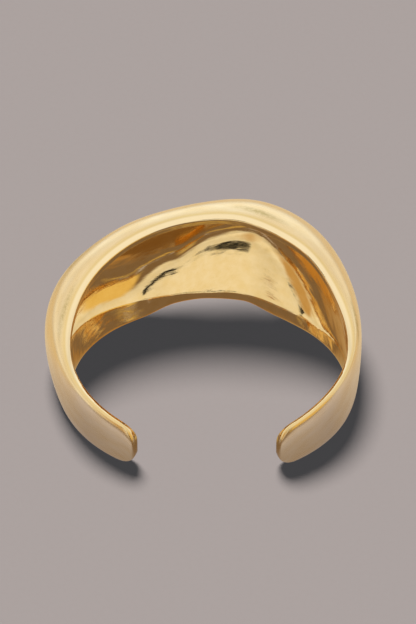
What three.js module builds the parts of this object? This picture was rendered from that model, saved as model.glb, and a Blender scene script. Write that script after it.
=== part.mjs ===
// Open cuff bracelet: one solid casting, open at the back, domed and hollow at the front.
// Millimetres, +Z up. The bracelet lies on its side, so the arm would pass through it along Z.
// The front (the dome) is towards +Y and the gap between the two ends is towards -Y.
import * as THREE from 'three';

// Wrist opening: an ellipse in plan, the inner face of the upper lip.
const OPENING_WIDTH = 55.6;      // across the arms, along X
const OPENING_DEPTH = 46.4;      // front to back, along Y

// Edges of the casting.
const LIP_WIDTH = 1.1;           // polished bevel along both inner edges
const LIP_DROP = 0.45;           // how far the bevel falls towards the wrist
const FOOT_WIDTH = 0.6;          // flat strip outside the lower bevel, which the bracelet rests on
const END_ROUNDING = 4.2;        // length over which an arm's end rounds off in height
const END_EDGE = 0.9;            // length over which it rounds off in thickness

// Cross-sections, one row for each place round the opening.
//   turn      degrees from the middle of the front, positive towards +X
//   top       height of the upper lip
//   bottom    height of the lower lip
//   tuck      how far the lower lip stands in from the opening, towards the wrist
//   reach     how far the outer wall stands out from the opening
//   crest     height at which it stands out furthest
//   lift      slope at which the outer wall rises away from the upper lip, in degrees
//   crown     how squarely it turns over above the crest: 0.55 is an ellipse, more is squarer
//   rake      slope of the ramp that both walls start with at the bottom, in degrees
//   lead      how far out that ramp runs, as a share of the whole way
//   rise      how much of the way up to the crest is upright, as a share
//   flare     how far out the hollow's lower edge lies from the opening, less than 0 inside it
//   shelf     height of the hollow's lower edge
//   ceiling   height of the hollow's upper edge
//   hollow    depth of the hollow behind the opening, nothing on the arms
//   deepest   height at which the hollow is deepest
const COLUMNS = ['turn', 'top', 'bottom', 'tuck', 'reach', 'crest', 'lift', 'crown',
  'rake', 'lead', 'rise', 'flare', 'shelf', 'ceiling', 'hollow', 'deepest'];
const SECTIONS = [
  [-150,  9.3, 0.0, 0.0,  2.3,  4.9,  0, 0.68,  0, 0.68, 0.68,  0.0, 3.2,  6.8, 0.0,  5.0],
  [-120, 11.5, 0.0, 0.0,  2.6,  6.1,  0, 0.68,  0, 0.68, 0.68,  0.0, 4.0,  8.0, 0.0,  6.2],
  [ -90, 14.0, 0.0, 0.0,  4.5,  7.8,  4, 0.62, 10, 0.60, 0.55,  1.6, 4.7, 11.5, 2.2,  8.5],
  [ -60, 19.3, 0.0, 0.0,  8.5, 11.4,  8, 0.61, 25, 0.50, 0.40,  2.5, 5.3, 17.5, 6.2, 13.0],
  [ -45, 21.6, 0.0, 0.0,  8.8, 13.4,  8, 0.60, 28, 0.50, 0.45,  1.8, 5.0, 19.9, 5.8, 12.5],
  [ -30, 23.5, 0.9, 0.8,  8.9, 15.2,  7, 0.60, 30, 0.50, 0.50,  0.7, 4.9, 21.9, 4.7, 12.0],
  [ -15, 24.9, 3.8, 1.8,  9.1, 16.2,  6, 0.58, 30, 0.55, 0.48, -1.8, 6.7, 23.3, 4.7, 13.8],
  [   0, 25.8, 5.1, 2.5, 10.1, 17.3,  6, 0.57, 36, 0.68, 0.35, -2.6, 7.3, 24.2, 6.8, 16.4],
  [  15, 25.9, 5.0, 2.3, 11.3, 18.4,  6, 0.58, 34, 0.85, 0.35, -2.4, 7.5, 24.3, 7.8, 18.6],
  [  30, 24.3, 1.9, 1.2, 11.3, 17.5,  6, 0.55, 28, 0.78, 0.62, -0.9, 5.1, 22.7, 7.0, 18.3],
  [  45, 22.4, 0.0, 0.0,  9.4, 14.7,  5, 0.52, 30, 0.40, 0.60,  1.0, 2.7, 20.8, 5.2, 16.5],
  [  60, 18.8, 0.0, 0.0,  6.6, 11.8,  4, 0.55, 28, 0.35, 0.60,  1.1, 2.5, 17.0, 3.0, 12.5],
  [  90, 14.0, 0.0, 0.0,  2.7,  8.0,  3, 0.66, 10, 0.68, 0.60,  0.3, 2.6,  9.0, 0.6,  6.7],
  [ 120, 12.3, 0.0, 0.0,  2.1,  6.4,  0, 0.68,  0, 0.68, 0.68,  0.0, 4.4,  8.2, 0.0,  6.5],
  [ 152,  9.4, 0.0, 0.0,  2.1,  5.0,  0, 0.68,  0, 0.68, 0.68,  0.0, 3.3,  6.8, 0.0,  5.1],
];
// These columns keep between their rows' values; the others bend freely through them.
const HELD = ['bottom', 'tuck', 'lift', 'crown', 'rake', 'lead', 'rise', 'flare', 'hollow'];

// How finely the walls are faceted.
const RINGS = 84;                // along the length between the rounded ends
const END_RINGS = 7;             // over each rounded end
const OUTER_STEPS = 8;           // on each side of the crest
const HOLLOW_STEPS = 7;          // on each side of the deepest point
const LIP_STEPS = 2;

// A curve through points that bends as little as it can.
function freeCurve(x, y) {
  const n = x.length;
  const bend = new Array(n).fill(0);
  const rate = new Array(n).fill(0);
  for (let i = 1; i < n - 1; i++) {
    const before = x[i] - x[i - 1];
    const after = x[i + 1] - x[i];
    const share = before / (before + after);
    const turn = (y[i + 1] - y[i]) / after - (y[i] - y[i - 1]) / before;
    const scale = share * bend[i - 1] + 2;
    bend[i] = (share - 1) / scale;
    rate[i] = (6 * turn / (before + after) - share * rate[i - 1]) / scale;
  }
  const second = new Array(n).fill(0);
  for (let i = n - 2; i > 0; i--) second[i] = bend[i] * second[i + 1] + rate[i];
  return at => {
    const i = spanOf(x, at);
    const width = x[i + 1] - x[i];
    const a = (x[i + 1] - at) / width;
    const b = 1 - a;
    const cubic = (a ** 3 - a) * second[i] + (b ** 3 - b) * second[i + 1];
    return a * y[i] + b * y[i + 1] + cubic * width ** 2 / 6;
  };
}

// A curve through points that never passes outside two neighbours' values.
function heldCurve(x, y) {
  const n = x.length;
  const width = i => x[i + 1] - x[i];
  const slope = i => (y[i + 1] - y[i]) / width(i);
  const tangent = y.map((value, i) => {
    if (i === 0) return slope(0);
    if (i === n - 1) return slope(n - 2);
    const before = slope(i - 1);
    const after = slope(i);
    if (before * after <= 0) return 0;
    const w1 = 2 * width(i) + width(i - 1);
    const w2 = width(i) + 2 * width(i - 1);
    return (w1 + w2) / (w1 / before + w2 / after);
  });
  return at => {
    const i = spanOf(x, at);
    const t = (at - x[i]) / width(i);
    const value = (2 * t ** 3 - 3 * t ** 2 + 1) * y[i] + (3 * t ** 2 - 2 * t ** 3) * y[i + 1];
    const lean = (t ** 3 - 2 * t ** 2 + t) * tangent[i] + (t ** 3 - t ** 2) * tangent[i + 1];
    return value + lean * width(i);
  };
}

function spanOf(x, at) {
  let i = 0;
  while (i < x.length - 2 && at > x[i + 1]) i++;
  return i;
}

const turns = SECTIONS.map(row => row[0]);
const curves = {};
COLUMNS.slice(1).forEach((name, k) => {
  const values = SECTIONS.map(row => row[k + 1]);
  curves[name] = HELD.includes(name) ? heldCurve(turns, values) : freeCurve(turns, values);
});

// Points [out, height] from an edge up or down to a bulge's crest, where the wall is upright.
// It leaves the edge at a slope, in degrees, towards the crest; lead and upright are the shares
// of the way out and of the way to the crest that it keeps to each direction.
function sweep(steps, edge, crest, slope, lead, upright) {
  const [width, height] = [crest[0] - edge[0], crest[1] - edge[1]];
  const lean = Math.tan(THREE.MathUtils.degToRad(slope)) * Math.sign(height);
  const curve = new THREE.CubicBezierCurve(
    new THREE.Vector2(edge[0], edge[1]),
    new THREE.Vector2(edge[0] + lead * width, edge[1] + lead * width * lean),
    new THREE.Vector2(crest[0], crest[1] - upright * height),
    new THREE.Vector2(crest[0], crest[1]));
  return curve.getPoints(steps).map(point => point.toArray());
}

// The closed outline of one cross-section, anticlockwise seen along the arm.
function outline(s, heightShare, thicknessShare) {
  const lip = Math.min(LIP_WIDTH, 0.45 * s.reach);
  const crest = [s.reach, s.crest];
  const foot = [lip + FOOT_WIDTH - s.tuck, s.bottom];
  const below = sweep(OUTER_STEPS, foot, crest, s.rake, s.lead, s.rise);
  const above = sweep(OUTER_STEPS, [lip, s.top], crest, -s.lift, s.crown, s.crown);
  const points = [[lip - s.tuck, s.bottom], ...below, ...above.reverse().slice(1)];
  for (let i = 1; i <= LIP_STEPS; i++) {
    const t = i / LIP_STEPS;
    points.push([lip * (1 - t), s.top - LIP_DROP * t ** 1.3]);
  }
  const deepest = [Math.max(0, s.flare, s.hollow), s.deepest];
  const upper = sweep(HOLLOW_STEPS, [0, s.ceiling], deepest, 0, 0.55, 0.55);
  const lower = sweep(HOLLOW_STEPS, [s.flare, s.shelf], deepest, s.rake, s.lead, s.rise);
  points.push(...upper, ...lower.reverse().slice(1));
  for (let i = 0; i < LIP_STEPS; i++) {
    const t = i / LIP_STEPS;
    points.push([lip * t - s.tuck, s.bottom + LIP_DROP * (1 - t) ** 1.3]);
  }
  const middle = (s.top + s.bottom) / 2;
  const centre = s.reach / 2;
  return points.map(([out, height]) => [
    centre + (out - centre) * thicknessShare,
    middle + (height - middle) * heightShare,
  ]);
}

// Length along the opening's edge for fine steps of turn, to space the cross-sections evenly.
function runLengths() {
  const steps = 2000;
  const first = turns[0];
  const last = turns[turns.length - 1];
  const runs = [];
  let length = 0;
  let before = null;
  for (let i = 0; i <= steps; i++) {
    const turn = first + (last - first) * i / steps;
    const angle = THREE.MathUtils.degToRad(turn);
    const here = [OPENING_WIDTH / 2 * Math.sin(angle), OPENING_DEPTH / 2 * Math.cos(angle)];
    if (before) length += Math.hypot(here[0] - before[0], here[1] - before[1]);
    runs.push([length, turn]);
    before = here;
  }
  return runs;
}

function turnAt(runs, length) {
  let i = 0;
  while (i < runs.length - 2 && runs[i + 1][0] < length) i++;
  const t = (length - runs[i][0]) / (runs[i + 1][0] - runs[i][0]);
  return runs[i][1] + (runs[i + 1][1] - runs[i][1]) * t;
}

// One ring of points round the cross-section at a given length along the bracelet.
function ringAt(runs, length) {
  const total = runs[runs.length - 1][0];
  const turn = turnAt(runs, length);
  const fromEnd = Math.min(length, total - length);
  const heightShare = (1 - Math.max(0, 1 - fromEnd / END_ROUNDING) ** 2.4) ** (1 / 2.4);
  const thicknessShare = (1 - Math.max(0, 1 - fromEnd / END_EDGE) ** 2.2) ** (1 / 2.2);
  const section = {};
  for (const name of COLUMNS.slice(1)) section[name] = curves[name](turn);
  const angle = THREE.MathUtils.degToRad(turn);
  const edge = new THREE.Vector2(
    OPENING_WIDTH / 2 * Math.sin(angle), OPENING_DEPTH / 2 * Math.cos(angle));
  const outward = new THREE.Vector2(
    Math.sin(angle) / OPENING_WIDTH, Math.cos(angle) / OPENING_DEPTH).normalize();
  return outline(section, heightShare, thicknessShare).map(([out, height]) =>
    new THREE.Vector3(edge.x + outward.x * out, edge.y + outward.y * out, height));
}

// Lengths along the bracelet: crowded over each rounded end, even between them.
function ringLengths(total) {
  const ends = [];
  for (let i = 0; i < END_RINGS; i++) {
    const angle = 0.12 + (Math.PI / 2 - 0.12) * i / (END_RINGS - 1);
    ends.push(END_ROUNDING * (1 - Math.cos(angle)));
  }
  const between = [];
  for (let i = 1; i < RINGS; i++) {
    between.push(END_ROUNDING + (total - 2 * END_ROUNDING) * i / RINGS);
  }
  return [...ends, ...between, ...ends.map(length => total - length).reverse()];
}

function cuffGeometry() {
  const runs = runLengths();
  const total = runs[runs.length - 1][0];
  const rings = ringLengths(total).map(length => ringAt(runs, length));
  const size = rings[0].length;
  const points = rings.flat();
  const faces = [];
  for (let r = 0; r < rings.length - 1; r++) {
    for (let i = 0; i < size; i++) {
      const next = (i + 1) % size;
      const [a, b] = [r * size + i, r * size + next];
      const [c, d] = [b + size, a + size];
      faces.push(a, b, c, a, c, d);
    }
  }
  // Each end closes on a point at the middle of its last ring.
  for (const r of [0, rings.length - 1]) {
    const tip = new THREE.Vector3();
    rings[r].forEach(point => tip.add(point));
    points.push(tip.divideScalar(size));
    for (let i = 0; i < size; i++) {
      const [a, b] = [r * size + i, r * size + (i + 1) % size];
      if (r === 0) faces.push(points.length - 1, b, a);
      else faces.push(points.length - 1, a, b);
    }
  }
  const geometry = new THREE.BufferGeometry().setFromPoints(points);
  geometry.setIndex(faces);
  // The origin is the middle of the bracelet's underside.
  geometry.computeBoundingBox();
  const box = geometry.boundingBox;
  geometry.translate(
    -(box.min.x + box.max.x) / 2, -(box.min.y + box.max.y) / 2, -box.min.z);
  geometry.computeVertexNormals();
  return geometry;
}

const gold = new THREE.MeshStandardMaterial({ color: 0xe0b765, metalness: 1, roughness: 0.25 });
const cuff = new THREE.Mesh(cuffGeometry(), gold);
cuff.name = 'cuff';

const part = new THREE.Group();
part.name = 'cuff_bracelet';
part.add(cuff);

export default part;
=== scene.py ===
import math

import bpy
import numpy as np
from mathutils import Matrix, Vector


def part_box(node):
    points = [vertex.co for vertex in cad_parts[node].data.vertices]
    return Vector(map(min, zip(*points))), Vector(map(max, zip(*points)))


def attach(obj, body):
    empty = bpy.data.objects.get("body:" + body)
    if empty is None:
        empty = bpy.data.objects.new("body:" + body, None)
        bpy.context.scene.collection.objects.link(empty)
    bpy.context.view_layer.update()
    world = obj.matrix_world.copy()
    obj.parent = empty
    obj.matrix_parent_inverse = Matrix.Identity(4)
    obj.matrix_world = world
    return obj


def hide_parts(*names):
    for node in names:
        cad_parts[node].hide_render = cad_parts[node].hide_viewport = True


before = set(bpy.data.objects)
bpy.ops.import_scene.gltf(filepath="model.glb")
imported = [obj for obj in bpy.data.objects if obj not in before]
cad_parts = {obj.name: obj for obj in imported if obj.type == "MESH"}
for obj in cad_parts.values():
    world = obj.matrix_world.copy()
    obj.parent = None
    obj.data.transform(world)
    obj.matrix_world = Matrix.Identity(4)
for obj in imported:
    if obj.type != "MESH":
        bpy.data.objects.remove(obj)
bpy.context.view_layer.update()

# Open cuff bracelet with a hollow, lopsided dome, lying on its side on a plain floor.
# The casting is one solid, so one piece replaces the CAD node: the same sections, finer.

MM = 0.001

# ---------------------------------------------------------------- shape, in millimetres

# Wrist opening: an ellipse in plan, the inner face of both lips.
OPENING_WIDTH = 55.6
OPENING_DEPTH = 46.4

# Edges of the casting.
LIP_WIDTH = 1.1          # polished bevel along both inner edges
LIP_SHARE = 0.45         # the bevel's most, as a share of a thin wall's thickness
LIP_DROP = 0.45          # how far the bevel falls towards the wrist
LIP_CROWN = 1.3          # 1 is a straight bevel, more is a crowned one
FOOT_WIDTH = 0.6         # flat strip outside the lower bevel
HOLLOW_CROWN = 0.55      # crown and rise of the hollow's upper half, as shares
END_ROUNDING = 4.2       # length over which an arm's end rounds off in height
END_FORM = 2.4           # 2 is a true ellipse, more is squarer
END_EDGE = 0.9           # length over which it rounds off in thickness
EDGE_FORM = 2.2

# Cross-sections, one row for each place round the opening: the columns of part.mjs.
# turn is in degrees from the middle of the front, heights are from the floor, reach and
# hollow are distances out from the opening, lift and rake are slopes in degrees, and
# crown, lead and rise are shares.
COLUMNS = ["turn", "top", "bottom", "tuck", "reach", "crest", "lift", "crown", "rake",
           "lead", "rise", "flare", "shelf", "ceiling", "hollow", "deepest"]
SECTIONS = [
    (-150,  9.3, 0.0, 0.0,  2.3,  4.9,  0, 0.68,  0, 0.68, 0.68,  0.0, 3.2,  6.8, 0.0,  5.0),
    (-120, 11.5, 0.0, 0.0,  2.6,  6.1,  0, 0.68,  0, 0.68, 0.68,  0.0, 4.0,  8.0, 0.0,  6.2),
    ( -90, 14.0, 0.0, 0.0,  4.5,  7.8,  4, 0.62, 10, 0.60, 0.55,  1.6, 4.7, 11.5, 2.2,  8.5),
    ( -60, 19.3, 0.0, 0.0,  8.5, 11.4,  8, 0.61, 25, 0.50, 0.40,  2.5, 5.3, 17.5, 6.2, 13.0),
    ( -45, 21.6, 0.0, 0.0,  8.8, 13.4,  8, 0.60, 28, 0.50, 0.45,  1.8, 5.0, 19.9, 5.8, 12.5),
    ( -30, 23.5, 0.9, 0.8,  8.9, 15.2,  7, 0.60, 30, 0.50, 0.50,  0.7, 4.9, 21.9, 4.7, 12.0),
    ( -15, 24.9, 3.8, 1.8,  9.1, 16.2,  6, 0.58, 30, 0.55, 0.48, -1.8, 6.7, 23.3, 4.7, 13.8),
    (   0, 25.8, 5.1, 2.5, 10.1, 17.3,  6, 0.57, 36, 0.68, 0.35, -2.6, 7.3, 24.2, 6.8, 16.4),
    (  15, 25.9, 5.0, 2.3, 11.3, 18.4,  6, 0.58, 34, 0.85, 0.35, -2.4, 7.5, 24.3, 7.8, 18.6),
    (  30, 24.3, 1.9, 1.2, 11.3, 17.5,  6, 0.55, 28, 0.78, 0.62, -0.9, 5.1, 22.7, 7.0, 18.3),
    (  45, 22.4, 0.0, 0.0,  9.4, 14.7,  5, 0.52, 30, 0.40, 0.60,  1.0, 2.7, 20.8, 5.2, 16.5),
    (  60, 18.8, 0.0, 0.0,  6.6, 11.8,  4, 0.55, 28, 0.35, 0.60,  1.1, 2.5, 17.0, 3.0, 12.5),
    (  90, 14.0, 0.0, 0.0,  2.7,  8.0,  3, 0.66, 10, 0.68, 0.60,  0.3, 2.6,  9.0, 0.6,  6.7),
    ( 120, 12.3, 0.0, 0.0,  2.1,  6.4,  0, 0.68,  0, 0.68, 0.68,  0.0, 4.4,  8.2, 0.0,  6.5),
    ( 152,  9.4, 0.0, 0.0,  2.1,  5.0,  0, 0.68,  0, 0.68, 0.68,  0.0, 3.3,  6.8, 0.0,  5.1),
]
# These columns keep between their rows' values; the others bend freely through them.
HELD = ["bottom", "tuck", "lift", "crown", "rake", "lead", "rise", "flare", "hollow"]

RINGS = 360              # cross-sections along the length, between the rounded ends
END_RINGS = 14           # more over each rounded end
OUTER_STEPS = 22         # on each side of the crest
HOLLOW_STEPS = 22        # on each side of the deepest point
BAND_STEPS = 6           # up the plain band beside each lip
LIP_STEPS = 4
ARC_STEPS = 4            # over each eased edge
EASE = 0.35              # how far an eased edge is cut back, in millimetres
EASE_SHARE = 0.45        # the most it takes of the way to the next point
END_START = 0.12         # the first ring's angle round an end, just short of the tip
MEASURED_TURNS = 4001    # places at which the opening's length is summed


def free_curve(x, y):
    """A cubic through points that bends as little as it can."""
    n = len(x)
    gap = np.diff(x)
    lhs = np.eye(n)
    rhs = np.zeros(n)
    for i in range(1, n - 1):
        lhs[i, i - 1:i + 2] = gap[i - 1], 2 * (gap[i - 1] + gap[i]), gap[i]
        rhs[i] = 6 * ((y[i + 1] - y[i]) / gap[i] - (y[i] - y[i - 1]) / gap[i - 1])
    second = np.linalg.solve(lhs, rhs)

    def at(value):
        i = np.clip(np.searchsorted(x, value) - 1, 0, n - 2)
        a = (x[i + 1] - value) / gap[i]
        b = 1 - a
        bend = (a ** 3 - a) * second[i] + (b ** 3 - b) * second[i + 1]
        return a * y[i] + b * y[i + 1] + bend * gap[i] ** 2 / 6

    return at


def held_curve(x, y):
    """A cubic through points that never passes outside two neighbours' values."""
    n = len(x)
    gap = np.diff(x)
    slope = np.diff(y) / gap
    tangent = np.zeros(n)
    tangent[0] = slope[0]
    tangent[-1] = slope[-1]
    for i in range(1, n - 1):
        if slope[i - 1] * slope[i] > 0:
            w1 = 2 * gap[i] + gap[i - 1]
            w2 = gap[i] + 2 * gap[i - 1]
            tangent[i] = (w1 + w2) / (w1 / slope[i - 1] + w2 / slope[i])

    def at(value):
        i = np.clip(np.searchsorted(x, value) - 1, 0, n - 2)
        t = (value - x[i]) / gap[i]
        level = (2 * t ** 3 - 3 * t ** 2 + 1) * y[i] + (3 * t ** 2 - 2 * t ** 3) * y[i + 1]
        lean = (t ** 3 - 2 * t ** 2 + t) * tangent[i] + (t ** 3 - t ** 2) * tangent[i + 1]
        return level + lean * gap[i]

    return at


table = np.array(SECTIONS, dtype=float)
turns = table[:, 0]
curves = {}
for column, name in enumerate(COLUMNS[1:], start=1):
    make = held_curve if name in HELD else free_curve
    curves[name] = make(turns, table[:, column])


def sweep(steps, edge, crest, slope, lead, upright):
    """Points from an edge to a bulge's crest, where the wall is upright."""
    width = crest[0] - edge[0]
    height = crest[1] - edge[1]
    lean = math.tan(math.radians(slope)) * math.copysign(1, height)
    corners = np.array([
        edge,
        (edge[0] + lead * width, edge[1] + lead * width * lean),
        (crest[0], crest[1] - upright * height),
        crest,
    ])
    t = np.linspace(0, 1, steps + 1)[:, None]
    weights = np.hstack([(1 - t) ** 3, 3 * (1 - t) ** 2 * t, 3 * (1 - t) * t ** 2, t ** 3])
    return weights @ corners


def straight(steps, start, end):
    """Points between two corners, crowded towards both and leaving them out."""
    t = (1 - np.cos(np.linspace(0, math.pi, steps + 1)[1:-1])) / 2
    return np.outer(1 - t, start) + np.outer(t, end)


def bevel(lip, edge, drop, steps):
    """Points down a slightly crowned lip, stopping short of its wrist side."""
    t = np.linspace(0, 1 - EASE / lip, steps + 1)
    return np.column_stack([lip * (1 - t), edge + drop * t ** LIP_CROWN])


def eased(before, corner, after):
    """A small arc in place of a corner, between the ways to its two neighbours."""
    corner = np.array(corner, dtype=float)
    ends = []
    for neighbour in (before, after):
        way = np.array(neighbour, dtype=float) - corner
        distance = max(np.linalg.norm(way), 1e-6)
        ends.append(corner + way * min(EASE / distance, EASE_SHARE))
    t = np.linspace(0, 1, ARC_STEPS + 1)[:, None]
    return (1 - t) ** 2 * ends[0] + 2 * (1 - t) * t * corner + t ** 2 * ends[1]


# The outline runs up the outer wall, over the upper lip, down inside and back under.
OUTER_END = 2 * OUTER_STEPS + 1          # index of the upper lip's outer edge
FOOT_EDGES = (0, 1)                      # left sharp


def outline(s, height_share, thickness_share):
    """The closed outline of one cross-section, as rows of (out, height)."""
    lip = min(LIP_WIDTH, LIP_SHARE * s["reach"])
    crest = (s["reach"], s["crest"])
    tuck = s["tuck"]
    below = sweep(OUTER_STEPS, (lip + FOOT_WIDTH - tuck, s["bottom"]), crest,
                  s["rake"], s["lead"], s["rise"])
    above = sweep(OUTER_STEPS, (lip, s["top"]), crest, -s["lift"], s["crown"], s["crown"])
    deepest = (max(0.0, s["flare"], s["hollow"]), s["deepest"])
    ceiling = (0.0, s["ceiling"])
    shelf = (s["flare"], s["shelf"])
    upper = sweep(HOLLOW_STEPS, ceiling, deepest, 0, HOLLOW_CROWN, HOLLOW_CROWN)
    lower = sweep(HOLLOW_STEPS, shelf, deepest, s["rake"], s["lead"], s["rise"])
    top_edge = (0.0, s["top"] - LIP_DROP)
    bottom_edge = (-tuck, s["bottom"] + LIP_DROP)
    upper_lip = bevel(lip, s["top"], -LIP_DROP, LIP_STEPS)
    lower_lip = bevel(lip, s["bottom"], LIP_DROP, LIP_STEPS)[::-1] - (tuck, 0)
    outer_arc = eased(above[1], above[0], upper_lip[1])
    top_arc = eased(upper_lip[-2], top_edge, ceiling)
    shelf_arc = eased(lower[1], shelf, bottom_edge)
    bottom_arc = eased(shelf, bottom_edge, lower_lip[1])
    points = np.vstack([
        [(lip - tuck, s["bottom"])],
        below,
        above[::-1][1:-1],
        outer_arc,
        upper_lip[1:-1],
        top_arc,
        straight(BAND_STEPS, top_arc[-1], ceiling),
        upper,
        lower[::-1][1:-1],
        shelf_arc,
        straight(BAND_STEPS, shelf_arc[-1], bottom_arc[0]),
        bottom_arc,
        lower_lip[1:-1],
    ])
    centre = np.array([s["reach"] / 2, (s["top"] + s["bottom"]) / 2])
    return centre + (points - centre) * (thickness_share, height_share)


def rounded(from_end, length, form):
    """Share of full size at a distance from an arm's end."""
    return (1 - max(0.0, 1 - from_end / length) ** form) ** (1 / form)


fine_turns = np.linspace(turns[0], turns[-1], MEASURED_TURNS)
fine_angles = np.radians(fine_turns)
edge_steps = np.hypot(np.diff(OPENING_WIDTH / 2 * np.sin(fine_angles)),
                      np.diff(OPENING_DEPTH / 2 * np.cos(fine_angles)))
fine_lengths = np.concatenate([[0], np.cumsum(edge_steps)])
total_length = fine_lengths[-1]


def ring_at(length):
    """One ring of points round the cross-section at a length along the bracelet."""
    turn = np.interp(length, fine_lengths, fine_turns)
    section = {name: float(curve(turn)) for name, curve in curves.items()}
    from_end = min(length, total_length - length)
    points = outline(section, rounded(from_end, END_ROUNDING, END_FORM),
                     rounded(from_end, END_EDGE, EDGE_FORM))
    angle = math.radians(turn)
    edge = np.array([OPENING_WIDTH / 2 * math.sin(angle), OPENING_DEPTH / 2 * math.cos(angle)])
    outward = np.array([math.sin(angle) / OPENING_WIDTH, math.cos(angle) / OPENING_DEPTH])
    outward /= np.linalg.norm(outward)
    plan = edge + np.outer(points[:, 0], outward)
    return np.column_stack([plan, points[:, 1]])


def ring_lengths():
    """Lengths along the bracelet: crowded over each rounded end, even between them."""
    ends = END_ROUNDING * (1 - np.cos(np.linspace(END_START, math.pi / 2, END_RINGS)))
    between = np.linspace(END_ROUNDING, total_length - END_ROUNDING, RINGS + 1)[1:-1]
    return np.concatenate([ends, between, (total_length - ends)[::-1]])


lengths = ring_lengths()
rings = np.array([ring_at(length) for length in lengths])
ring_count, ring_size, _ = rings.shape
low = rings.reshape(-1, 3).min(axis=0)
high = rings.reshape(-1, 3).max(axis=0)
# The CAD's facets cut the curves a few hundredths of a millimetre short: the rings are
# brought in to the same box. The opening's centre, their own origin, lands here.
cuff_low, cuff_high = np.array(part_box("cuff")) / MM
fit = (cuff_high - cuff_low) / (high - low)
opening_centre = cuff_low - low * fit

# Places on the surface in millimetres: along the bracelet, and round the cross-section
# from the lip's outer edge.
steps = np.linalg.norm(np.roll(rings, -1, axis=1) - rings, axis=2)
girths = np.hstack([np.zeros((ring_count, 1)), np.cumsum(steps, axis=1)])
girths -= girths[:, OUTER_END:OUTER_END + 1]

SATIN_SLOT = 0           # outside and over the ends
POLISHED_SLOT = 1        # the lips and everything inside them


def surface_uv(mesh):
    """Lay each face's corners at their places on the surface."""
    uv = mesh.uv_layers.new(name="run")
    coords = np.zeros((len(mesh.loops), 2))
    loop = 0
    for r in range(ring_count - 1):
        for i in range(ring_size):
            coords[loop:loop + 4] = [
                (lengths[r], girths[r, i]),
                (lengths[r], girths[r, i + 1]),
                (lengths[r + 1], girths[r + 1, i + 1]),
                (lengths[r + 1], girths[r + 1, i]),
            ]
            loop += 4
    for r in (0, ring_count - 1):
        for i in range(ring_size):
            coords[loop:loop + 3] = [(lengths[r], girths[r, i])] * 3
            loop += 3
    uv.data.foreach_set("uv", coords.ravel())


def build_cuff():
    """The whole casting as one closed mesh."""
    tips = [rings[0].mean(axis=0), rings[-1].mean(axis=0)]
    points = np.vstack([rings.reshape(-1, 3), tips]) * fit + opening_centre
    faces = []
    slots = []
    for r in range(ring_count - 1):
        for i in range(ring_size):
            a = r * ring_size + i
            b = r * ring_size + (i + 1) % ring_size
            faces.append((a, b, b + ring_size, a + ring_size))
            slots.append(SATIN_SLOT if i < OUTER_END else POLISHED_SLOT)
    for r, tip in ((0, len(points) - 2), (ring_count - 1, len(points) - 1)):
        for i in range(ring_size):
            a = r * ring_size + i
            b = r * ring_size + (i + 1) % ring_size
            faces.append((tip, b, a) if r == 0 else (tip, a, b))
            slots.append(SATIN_SLOT)
    mesh = bpy.data.meshes.new("cuff_casting")
    mesh.from_pydata((points * MM).tolist(), [], faces)
    mesh.polygons.foreach_set("material_index", slots)
    mesh.polygons.foreach_set("use_smooth", [True] * len(faces))
    mesh.update()
    pairs = np.zeros(2 * len(mesh.edges), dtype=int)
    mesh.edges.foreach_get("vertices", pairs)
    pairs = pairs.reshape(-1, 2) % ring_size
    sharp = (pairs[:, 0] == pairs[:, 1]) & np.isin(pairs[:, 0], FOOT_EDGES)
    mesh.edges.foreach_set("use_edge_sharp", sharp)
    surface_uv(mesh)
    mesh.validate()
    mesh.update()
    piece = bpy.data.objects.new("cuff_casting", mesh)
    bpy.context.collection.objects.link(piece)
    return piece


# ---------------------------------------------------------------- materials

# Each metal's two tones, then what lies over them: a painted highlight on the face of the
# lips, painted shade along the crease at their outer edge, the stains outside and the
# copper-pink spot inside.
GOLD = (0.90, 0.67, 0.33)
GOLD_DEEP = (0.86, 0.61, 0.26)
SATIN = (0.92, 0.72, 0.42)
SATIN_DEEP = (0.89, 0.66, 0.34)
# Painted highlight on the face of the lips.
LIP_HIGHLIGHT_COLOUR = (0.97, 0.80, 0.50)
# Painted shade along the crease at the lips' outer edge.
CREASE_SHADE = (0.80, 0.58, 0.24)
STAIN = (0.58, 0.44, 0.19)
COPPER = (0.85, 0.50, 0.34)

# Girths between which one tone gives way to the next, from the upper lip's outer edge.
BESIDE_LIP = (-0.9, -0.1)
LIP_EDGE = (0.05, 0.4)
LIP_FACE = (1.25, 1.5)
CREASE_SHADE_STRENGTH = 0.75
LIP_HIGHLIGHT_STRENGTH = 0.8
STAIN_STRENGTH = 0.9

# Marks of working: length along the bracelet and width across it, in millimetres.
SATIN_LINES = (3.0, 0.16)
SATIN_CLOUDS = (6.0, 2.2)
POLISHED_LINES = (5.0, 0.22)
POLISHED_WAVES = (7.0, 3.5)
LINES_IN_GRAIN = 0.6     # how much of the satin's relief is lines, beside its grain
LINE_DEPTH = 0.00003     # in metres
WAVE_DEPTH = 0.00025

# Roughness, from the clouds' darkest to their lightest, and what else adds to it.
SATIN_ROUGHNESS = (0.19, 0.25)
POLISHED_ROUGHNESS = (0.04, 0.09)
SATIN_LINES_ADD = 0.05
POLISHED_LINES_ADD = 0.03
STAIN_ADD = 0.12


class Nodes:
    """Short calls for building one node tree."""

    def __init__(self, tree):
        self.tree = tree
        tree.nodes.clear()

    def add(self, kind, inputs=None, **settings):
        node = self.tree.nodes.new(kind)
        for key, value in settings.items():
            setattr(node, key, value)
        for key, value in (inputs or {}).items():
            if isinstance(value, bpy.types.NodeSocket):
                self.tree.links.new(value, node.inputs[key])
            else:
                node.inputs[key].default_value = value
        return node


def set_ramp(node, stops):
    """Give a colour ramp its stops: (position, (red, green, blue))."""
    elements = node.color_ramp.elements
    while len(elements) < len(stops):
        elements.new(0.5)
    for element, (position, colour) in zip(elements, stops):
        element.position = position
        element.color = (*colour, 1)


def new_material(name):
    material = bpy.data.materials.new(name)
    material.use_nodes = True
    return material, Nodes(material.node_tree)


def surface_place(nodes):
    """The place on the surface in millimetres: X along the bracelet, Y round the section."""
    return nodes.add("ShaderNodeUVMap", uv_map="run").outputs["UV"]


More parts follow.
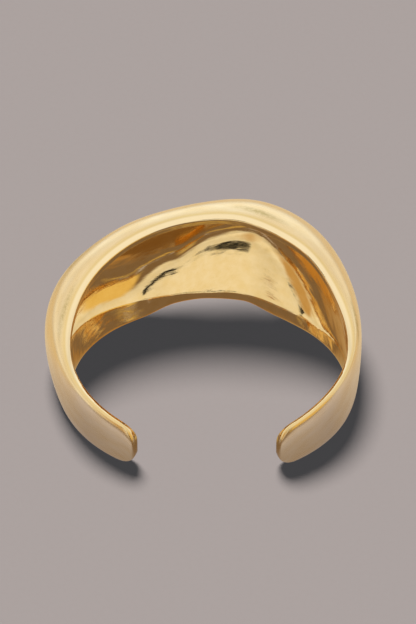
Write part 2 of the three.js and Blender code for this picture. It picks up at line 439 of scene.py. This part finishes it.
def brushed(nodes, place, length, width, detail=3):
    """Noise drawn out along the bracelet, as polishing leaves it."""
    drawn = nodes.add("ShaderNodeMapping", {"Vector": place,
                                            "Scale": (1 / length, 1 / width, 1)})
    noise = nodes.add("ShaderNodeTexNoise", {"Vector": drawn.outputs["Vector"], "Scale": 1.0,
                                             "Detail": detail, "Roughness": 0.6})
    return noise.outputs["Fac"]


def spread(nodes, value, low, high, start=0.35, end=0.65):
    """A value from start to end, taken to low to high."""
    node = nodes.add("ShaderNodeMapRange", {"Value": value, "From Min": start, "From Max": end,
                                            "To Min": low, "To Max": high})
    return node.outputs["Result"]


def maths(nodes, operation, a, b):
    """One arithmetic step."""
    return nodes.add("ShaderNodeMath", {0: a, 1: b}, operation=operation).outputs["Value"]


def blend_colour(nodes, share, first, second):
    """The first colour where the share is 0, the second where it is 1."""
    mix = nodes.add("ShaderNodeMix", {0: share}, data_type="RGBA")
    for socket, colour in ((6, first), (7, second)):
        if isinstance(colour, bpy.types.NodeSocket):
            nodes.tree.links.new(colour, mix.inputs[socket])
        else:
            mix.inputs[socket].default_value = (*colour, 1)
    return mix.outputs[2]


STAIN_FADE = (0.2, 1.0)       # shares of a stain's size between which it fades out
SPECKLE_LEVELS = (0.35, 1.0)  # how much of a stain shows, between the noise's two values
SPECKLE_NOISE = (0.40, 0.54)


def stain_mask(nodes, place, stains):
    """How stained the surface is: a speckled patch round each place in a list."""
    speckle = nodes.add("ShaderNodeTexNoise", {"Vector": place, "Scale": 1.6, "Detail": 5,
                                               "Roughness": 0.7}).outputs["Fac"]
    total = None
    for turn, girth, half_length, half_width, strength in stains:
        length = float(np.interp(turn, fine_turns, fine_lengths))
        from_middle = nodes.add("ShaderNodeVectorMath", {0: place, 1: (length, girth, 0)},
                                operation="SUBTRACT").outputs["Vector"]
        scaled = nodes.add("ShaderNodeVectorMath", {
            0: from_middle, 1: (1 / half_length, 1 / half_width, 0)}, operation="MULTIPLY")
        away = nodes.add("ShaderNodeVectorMath", {0: scaled.outputs["Vector"]},
                         operation="LENGTH").outputs["Value"]
        patch = spread(nodes, away, strength, 0.0, *STAIN_FADE)
        total = patch if total is None else maths(nodes, "MAXIMUM", total, patch)
    speckled = spread(nodes, speckle, *SPECKLE_LEVELS, *SPECKLE_NOISE)
    return maths(nodes, "MULTIPLY", total, speckled)


# Stains: turn, girth from the upper lip's outer edge (less than 0 outside), half length and
# half width in millimetres, and strength.
SATIN_STAINS = [
    (20, -2.2, 6.0, 1.1, 1.0),
    (80, -1.6, 6.0, 0.8, 1.0),
    (-50, -5.6, 10.0, 1.5, 1.0),
    (-76, -1.0, 7.0, 0.8, 0.9),
]
POLISHED_STAINS = [
    (-9, 4.6, 0.7, 0.5, 0.8),
]


def girth_of(nodes, place):
    """How far in from the upper lip's outer edge, in millimetres, less than 0 outside."""
    return nodes.add("ShaderNodeSeparateXYZ", {"Vector": place}).outputs["Y"]


def satin_gold():
    """Outside: a fine satin brushed along the bracelet, with a few dull, speckled patches and
    painted shade along the crease beside the lip.
    """
    material, nodes = new_material("satin_gold")
    place = surface_place(nodes)
    lines = brushed(nodes, place, *SATIN_LINES)
    clouds = brushed(nodes, place, *SATIN_CLOUDS, detail=4)
    grain = nodes.add("ShaderNodeTexNoise", {"Vector": place, "Scale": 4.5, "Detail": 3,
                                             "Roughness": 0.65}).outputs["Fac"]
    stains = stain_mask(nodes, place, SATIN_STAINS)
    tone = blend_colour(nodes, spread(nodes, clouds, 0, 1), SATIN, SATIN_DEEP)
    stained = maths(nodes, "MULTIPLY", stains, STAIN_STRENGTH)
    tone = blend_colour(nodes, stained, tone, STAIN)
    # Painted shade along the crease, just outside the lip's outer edge.
    crease_shade_outside = spread(nodes, girth_of(nodes, place), 0.0, CREASE_SHADE_STRENGTH, *BESIDE_LIP)
    tone = blend_colour(nodes, crease_shade_outside, tone, CREASE_SHADE)
    rough = maths(nodes, "ADD", spread(nodes, clouds, *SATIN_ROUGHNESS),
                  spread(nodes, lines, 0, SATIN_LINES_ADD))
    rough = maths(nodes, "ADD", rough, maths(nodes, "MULTIPLY", stains, STAIN_ADD))
    height = maths(nodes, "ADD", maths(nodes, "MULTIPLY", lines, LINES_IN_GRAIN), grain)
    bump = nodes.add("ShaderNodeBump", {"Height": height, "Strength": 0.35,
                                        "Distance": LINE_DEPTH})
    shader = nodes.add("ShaderNodeBsdfPrincipled", {
        "Base Color": tone, "Metallic": 1.0, "Roughness": rough,
        "Normal": bump.outputs["Normal"]})
    nodes.add("ShaderNodeOutputMaterial", {"Surface": shader.outputs["BSDF"]})
    return material


def polished_gold():
    """Inside and on the lips: hand-polished, with soft waves, wipe marks and faint lines, a
    painted highlight on the lip's face and painted shade along its outer edge.
    """
    material, nodes = new_material("polished_gold")
    place = surface_place(nodes)
    lines = brushed(nodes, place, *POLISHED_LINES)
    waves = brushed(nodes, place, *POLISHED_WAVES, detail=2)
    clouds = nodes.add("ShaderNodeTexNoise", {"Vector": place, "Scale": 0.45, "Detail": 5,
                                              "Roughness": 0.62}).outputs["Fac"]
    stains = stain_mask(nodes, place, POLISHED_STAINS)
    tone = blend_colour(nodes, spread(nodes, clouds, 0, 1), GOLD, GOLD_DEEP)
    tone = blend_colour(nodes, stains, tone, COPPER)
    # The lip's face gets a painted highlight, and painted shade runs along its outer edge, at
    # the crease.
    girth = girth_of(nodes, place)
    painted_lip_highlight = spread(nodes, girth, LIP_HIGHLIGHT_STRENGTH, 0.0, *LIP_FACE)
    tone = blend_colour(nodes, painted_lip_highlight, tone, LIP_HIGHLIGHT_COLOUR)
    crease_shade_on_lip = spread(nodes, girth, CREASE_SHADE_STRENGTH, 0.0, *LIP_EDGE)
    tone = blend_colour(nodes, crease_shade_on_lip, tone, CREASE_SHADE)
    rough = maths(nodes, "ADD", spread(nodes, clouds, *POLISHED_ROUGHNESS),
                  spread(nodes, lines, 0, POLISHED_LINES_ADD))
    fine = nodes.add("ShaderNodeBump", {"Height": lines, "Strength": 0.3,
                                        "Distance": LINE_DEPTH})
    soft = nodes.add("ShaderNodeBump", {"Height": waves, "Strength": 0.5,
                                        "Distance": WAVE_DEPTH,
                                        "Normal": fine.outputs["Normal"]})
    shader = nodes.add("ShaderNodeBsdfPrincipled", {
        "Base Color": tone, "Metallic": 1.0, "Roughness": rough,
        "Normal": soft.outputs["Normal"]})
    nodes.add("ShaderNodeOutputMaterial", {"Surface": shader.outputs["BSDF"]})
    return material


cuff = build_cuff()
cuff.data.materials.append(satin_gold())
cuff.data.materials.append(polished_gold())
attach(cuff, "root")
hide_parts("cuff")
cuff.visible_diffuse = False      # its bounce would tint the shadow on the floor

# ---------------------------------------------------------------- floor

FLOOR_HALF = 2.0                  # half its width, in metres
PAPER = (0.415, 0.357, 0.337)
PAPER_FIBRE = (0.427, 0.369, 0.349)

# The floor's colours as the metal mirrors it: painted light and shade, given off as a glow
# rather than lit.
FLOOR_IN_FRONT = (0.61, 0.59, 0.72)
# Painted shade on the mirrored floor close round the arms.
SHADED_FLOOR_UNDER_ARMS = (0.36, 0.32, 0.34)
FLOOR_BEHIND = (0.78, 0.66, 0.47)
DULL_GLOW = (0.46, 0.26, 0.09)
BRIGHT_GLOW = (0.66, 0.48, 0.18)
# Also painted shade: the mirrored floor inside the bracelet, between the arms and far off in
# front.
UNLIT_BROWN = (0.23, 0.16, 0.11)         # the unlit room under the tent's front

# Where they change. Radii are 1 at the edge of the wrist opening.
UNDER_ARMS_RADII = (1.15, 1.75)
INSIDE_RADII = (0.8, 1.1)
GLOW_INNER_RADII = (0.72, 0.88)
GLOW_OUTER_RADII = (1.0, 1.1)
# The rest are in metres: across towards +X, ahead towards +Y.
BEHIND_AHEAD = (-0.02, 0.01)
GLOW_AHEAD = (0.0, 0.006)
GLOW_ACROSS = (0.008, 0.016)
BRIGHT_GLOW_PLACE = (0.004, -0.014, 0)
BRIGHT_GLOW_AWAY = (0.002, 0.010)
BETWEEN_ARMS_ASIDE = (0.010, 0.015)
BETWEEN_ARMS_AHEAD = (-0.026, -0.021)
FAR_AHEAD = (-0.062, -0.045)


def build_floor():
    """Plain paper to the eye; in the metal, a glow with painted light and shade in the tones
    of a floor lit and shaded by the set.
    """
    mesh = bpy.data.meshes.new("studio_floor")
    h = FLOOR_HALF
    mesh.from_pydata([(-h, -h, 0), (h, -h, 0), (h, h, 0), (-h, h, 0)], [], [(0, 1, 2, 3)])
    floor = bpy.data.objects.new("studio_floor", mesh)
    bpy.context.collection.objects.link(floor)
    material, nodes = new_material("floor_paper")
    place = nodes.add("ShaderNodeTexCoord").outputs["Object"]
    fibre = nodes.add("ShaderNodeTexNoise", {"Vector": place, "Scale": 900, "Detail": 3})
    tone = blend_colour(nodes, fibre.outputs["Fac"], PAPER, PAPER_FIBRE)
    glossy = nodes.add("ShaderNodeLightPath").outputs["Is Glossy Ray"]
    paper = nodes.add("ShaderNodeBsdfPrincipled", {
        "Base Color": tone, "Roughness": 0.9, "Specular IOR Level": 0.0})
    # Painted shade: the mirrored floor is dimmest inside the bracelet and darker close round
    # the arms, and palest behind and in front of it.
    centred = nodes.add("ShaderNodeVectorMath", {
        0: place, 1: (opening_centre * MM).tolist()}, operation="SUBTRACT")
    ringed = nodes.add("ShaderNodeVectorMath", {
        0: centred.outputs["Vector"],
        1: (2 / (OPENING_WIDTH * MM), 2 / (OPENING_DEPTH * MM), 0)},
        operation="MULTIPLY")
    radius = nodes.add("ShaderNodeVectorMath", {0: ringed.outputs["Vector"]},
                       operation="LENGTH").outputs["Value"]
    split = nodes.add("ShaderNodeSeparateXYZ", {"Vector": place})
    across, ahead = split.outputs["X"], split.outputs["Y"]
    behind = spread(nodes, ahead, 0.0, 1.0, *BEHIND_AHEAD)
    near = spread(nodes, radius, 1.0, 0.0, *UNDER_ARMS_RADII)
    front = blend_colour(nodes, near, FLOOR_IN_FRONT, SHADED_FLOOR_UNDER_ARMS)
    mirrored = blend_colour(nodes, behind, front, FLOOR_BEHIND)
    inside = spread(nodes, radius, 1.0, 0.0, *INSIDE_RADII)
    mirrored = blend_colour(nodes, inside, mirrored, UNLIT_BROWN)
    # Painted light, as if thrown down by the gold: a dull glow along the front, fainter on the
    # right, and a bright one towards the gap.
    along = maths(nodes, "MULTIPLY", spread(nodes, radius, 0.0, 1.0, *GLOW_INNER_RADII),
                  spread(nodes, radius, 1.0, 0.0, *GLOW_OUTER_RADII))
    along = maths(nodes, "MULTIPLY", along, spread(nodes, ahead, 0.0, 1.0, *GLOW_AHEAD))
    along = maths(nodes, "MULTIPLY", along, spread(nodes, across, 1.0, 0.5, *GLOW_ACROSS))
    mirrored = blend_colour(nodes, along, mirrored, DULL_GLOW)
    off = nodes.add("ShaderNodeVectorMath", {0: place, 1: BRIGHT_GLOW_PLACE},
                    operation="SUBTRACT")
    away = nodes.add("ShaderNodeVectorMath", {0: off.outputs["Vector"]},
                     operation="LENGTH").outputs["Value"]
    bright = spread(nodes, away, 1.0, 0.0, *BRIGHT_GLOW_AWAY)
    mirrored = blend_colour(nodes, bright, mirrored, BRIGHT_GLOW)
    # Painted shade in the unlit room's brown between the arms and far off in front.
    aside = maths(nodes, "ABSOLUTE", across, 0.0)
    between = maths(nodes, "MULTIPLY", spread(nodes, aside, 1.0, 0.0, *BETWEEN_ARMS_ASIDE),
                    spread(nodes, ahead, 1.0, 0.0, *BETWEEN_ARMS_AHEAD))
    far = spread(nodes, ahead, 1.0, 0.0, *FAR_AHEAD)
    mirrored = blend_colour(nodes, maths(nodes, "MAXIMUM", between, far), mirrored, UNLIT_BROWN)
    # The mirrored tones glow as emission: painted light and shade, seen only in the metal.
    reflection = nodes.add("ShaderNodeEmission", {"Color": mirrored})
    shader = nodes.add("ShaderNodeMixShader", {0: glossy, 1: paper.outputs["BSDF"],
                                               2: reflection.outputs["Emission"]})
    nodes.add("ShaderNodeOutputMaterial", {"Surface": shader.outputs["Shader"]})
    mesh.materials.append(material)
    return floor


build_floor()


# ---------------------------------------------------------------- camera

CAMERA_ELEVATION = math.radians(44.4)
CAMERA_DISTANCE = 0.9
FRAME_HEIGHT = 0.12606            # what the picture's height covers at the aim, in metres
SENSOR = 36                       # in millimetres; the lens is worked out from it
# The aim is over the front of the opening, and raised to set the bracelet low in the frame.
AIM_OFFSET = Vector((-0.0002, 0.0018, 0.008))
AIM_RAISE = 0.0087

view_from = Vector((0, -math.cos(CAMERA_ELEVATION), math.sin(CAMERA_ELEVATION)))
picture_up = Vector((0, math.sin(CAMERA_ELEVATION), math.cos(CAMERA_ELEVATION)))
aim = Vector((opening_centre * MM).tolist()) + AIM_OFFSET
aim += picture_up * AIM_RAISE

camera_data = bpy.data.cameras.new("camera")
camera_data.sensor_width = SENSOR
camera_data.lens = camera_data.sensor_width * CAMERA_DISTANCE / FRAME_HEIGHT
camera_data.clip_start = 0.01
camera = bpy.data.objects.new("camera", camera_data)
camera.location = aim + view_from * CAMERA_DISTANCE
camera.rotation_euler = (-view_from).to_track_quat("-Z", "Y").to_euler()
bpy.context.collection.objects.link(camera)
bpy.context.scene.camera = camera
bpy.context.scene.view_settings.view_transform = "Standard"


# ---------------------------------------------------------------- light

KEY_ELEVATION = math.radians(56)
KEY_TURN = math.radians(-16)      # from straight behind, towards the left arm
KEY_ANGLE = math.radians(24)      # how wide it looks, which softens the shadow
KEY_ENERGY = 3.2

FILL = (0.13, 0.148, 0.165, 1)    # the even light that reaches all but the metal
# The tent's colour by height: 0 at the horizon, 1 straight above.
TENT = [
    (0.0, (0.60, 0.58, 0.56)),
    (0.06, (0.72, 0.70, 0.68)),
    (0.22, (1.00, 1.00, 1.00)),
    (0.42, (0.96, 0.96, 0.95)),
    (0.60, (0.82, 0.81, 0.80)),
    (0.86, (0.97, 0.96, 0.94)),
    (1.0, (1.00, 0.99, 0.97)),
]
# A brighter strip low behind: the way to its middle, how wide it is, and what it adds.
STRIP_WAY = (0.0, 0.94, 0.34)
STRIP_SPREAD = math.radians(42)
STRIP = (0.16, 0.24, 0.34)
# The unlit room seen under the tent's front, low and to the right, and a warm thing beyond
# each side of it. Each row has the way there, the degrees from it at which the tent ends
# and the colour is full, and the colour.
PATCHES = [
    ((0.42, -0.90, 0.06), 34, 24, UNLIT_BROWN),
    ((-0.57, -0.73, 0.37), 27, 15, (0.62, 0.42, 0.20)),
    ((0.76, -0.60, 0.24), 32, 22, (0.88, 0.66, 0.26)),
]
# Dark gaps in the tent, in degrees: turn from +Y towards +X, height above the horizon,
# half width and half height. One is the upper mark and part of the lower, and the other
# fills in the lower.
DARK_GAPS = [
    (195, 50, 5.0, 7),
    (203, 45, 5.0, 5),
]
GAP_LEVEL = 0.03         # what is left of the tent's light in a gap
GAP_EDGE = (0.75, 1.0)   # where it comes back, as shares of the half sizes

key_data = bpy.data.lights.new("key", "SUN")
key_data.energy = KEY_ENERGY
key_data.angle = KEY_ANGLE
key = bpy.data.objects.new("key", key_data)
towards_key = Vector((math.sin(KEY_TURN) * math.cos(KEY_ELEVATION),
                      math.cos(KEY_TURN) * math.cos(KEY_ELEVATION), math.sin(KEY_ELEVATION)))
key.rotation_euler = towards_key.to_track_quat("Z", "Y").to_euler()
key.visible_glossy = False        # the metal mirrors the tent, not the lamp
bpy.context.collection.objects.link(key)


def build_world():
    """What the metal mirrors, a pale tent with a room and two dark gaps in front, and the
    plain fill that lights the rest."""
    world = bpy.data.worlds.new("studio")
    bpy.context.scene.world = world
    world.use_nodes = True
    nodes = Nodes(world.node_tree)
    direction = nodes.add("ShaderNodeTexCoord").outputs["Generated"]
    height = nodes.add("ShaderNodeSeparateXYZ", {"Vector": direction}).outputs["Z"]
    ramp = nodes.add("ShaderNodeValToRGB", {"Fac": height})
    set_ramp(ramp, TENT)
    facing = nodes.add("ShaderNodeVectorMath", {0: direction, 1: STRIP_WAY},
                       operation="DOT_PRODUCT").outputs["Value"]
    share = nodes.add("ShaderNodeMapRange", {
        "Value": facing, "From Min": math.cos(STRIP_SPREAD), "From Max": 1.0},
        interpolation_type="SMOOTHSTEP").outputs["Result"]
    strip = nodes.add("ShaderNodeVectorMath", {0: STRIP, "Scale": share}, operation="SCALE")
    light = nodes.add("ShaderNodeVectorMath", {
        0: ramp.outputs["Color"], 1: strip.outputs["Vector"]},
        operation="ADD").outputs["Vector"]
    for way, outer, inner, colour in PATCHES:
        facing = nodes.add("ShaderNodeVectorMath", {0: direction, 1: way},
                           operation="DOT_PRODUCT").outputs["Value"]
        share = nodes.add("ShaderNodeMapRange", {
            "Value": facing, "From Min": math.cos(math.radians(outer)),
            "From Max": math.cos(math.radians(inner))}).outputs["Result"]
        light = blend_colour(nodes, share, light, colour)
    for turn, rise, half_width, half_height in DARK_GAPS:
        turn, rise = math.radians(turn), math.radians(rise)
        aside = (math.cos(turn), -math.sin(turn), 0)
        upward = (-math.sin(turn) * math.sin(rise), -math.cos(turn) * math.sin(rise),
                  math.cos(rise))
        shares = []
        for axis, half in ((aside, half_width), (upward, half_height)):
            off = nodes.add("ShaderNodeVectorMath", {0: direction, 1: axis},
                            operation="DOT_PRODUCT").outputs["Value"]
            shares.append(maths(nodes, "DIVIDE", off, math.sin(math.radians(half))))
        share = nodes.add("ShaderNodeCombineXYZ", {"X": shares[0], "Y": shares[1]})
        away = nodes.add("ShaderNodeVectorMath", {0: share.outputs["Vector"]},
                         operation="LENGTH").outputs["Value"]
        dimmed = nodes.add("ShaderNodeVectorMath", {
            0: light, "Scale": spread(nodes, away, GAP_LEVEL, 1.0, *GAP_EDGE)},
            operation="SCALE")
        light = dimmed.outputs["Vector"]
    seen = nodes.add("ShaderNodeBackground", {"Color": light})
    fill = nodes.add("ShaderNodeBackground", {"Color": FILL, "Strength": 1.0})
    glossy = nodes.add("ShaderNodeLightPath").outputs["Is Glossy Ray"]
    mixed = nodes.add("ShaderNodeMixShader", {0: glossy, 1: fill.outputs["Background"],
                                              2: seen.outputs["Background"]})
    nodes.add("ShaderNodeOutputWorld", {"Surface": mixed.outputs["Shader"]})


build_world()
